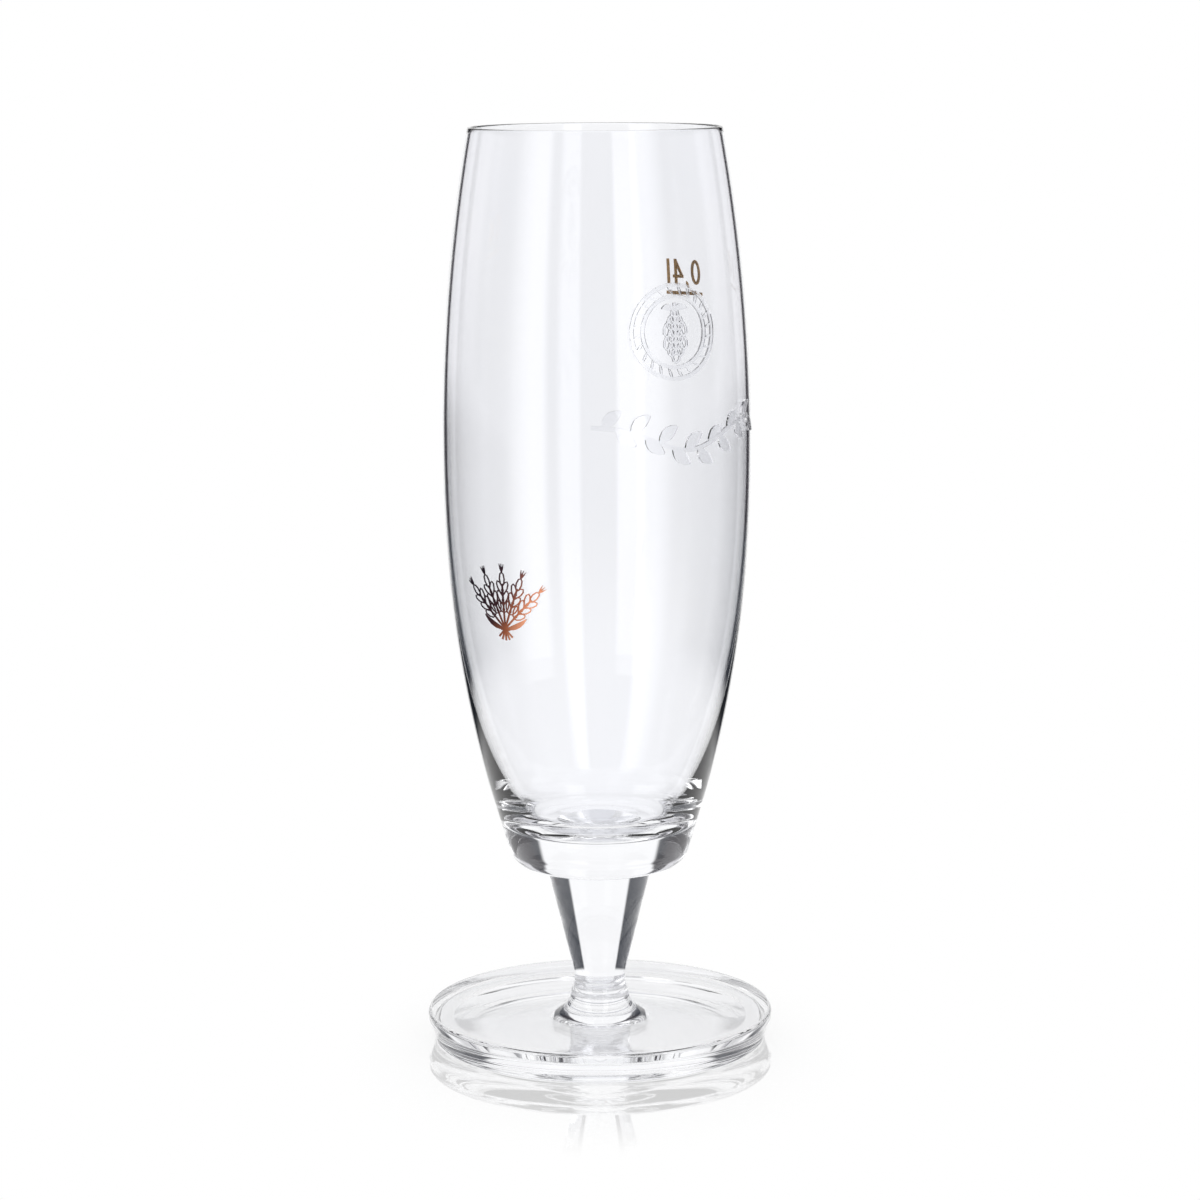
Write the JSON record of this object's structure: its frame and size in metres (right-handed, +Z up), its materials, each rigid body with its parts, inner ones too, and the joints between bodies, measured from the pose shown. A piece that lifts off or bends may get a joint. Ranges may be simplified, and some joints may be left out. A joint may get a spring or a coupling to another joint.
{
  "type": "beer goblet",
  "caption": "Tall stemmed clear-glass beer goblet: slim barrel-shaped bowl on a solid knop, tapered stem and heavy dished foot, with a printed capacity line.",
  "frame": {"origin": "on the axis of the glass, at the level of the surface that the foot stands on", "axes": "+Z up along the axis of the glass, from the foot to the rim; -Y towards the viewer of the picture"},
  "size_m": [0.0848, 0.0848, 0.223],
  "materials": {
    "clear_glass": "clear, fire-polished",
    "clear_relief": "clear raised enamel",
    "gold_print": "fired gold print",
    "copper_lustre": "metallic lustre print"
  },
  "bodies": {
    "root": {"foot": "clear_glass", "stem": "clear_glass", "knop": "clear_glass", "bowl": "clear_glass", "fill_line": "gold_print", "figure_zero": "gold_print", "decimal_comma": "gold_print", "figure_four": "gold_print", "litre_letter": "gold_print", "barley_sprig": "copper_lustre", "medallion_ring": "clear_relief", "hop_cone": "clear_relief", "leaf_garland": "clear_relief"}
  },
  "joints": []
}
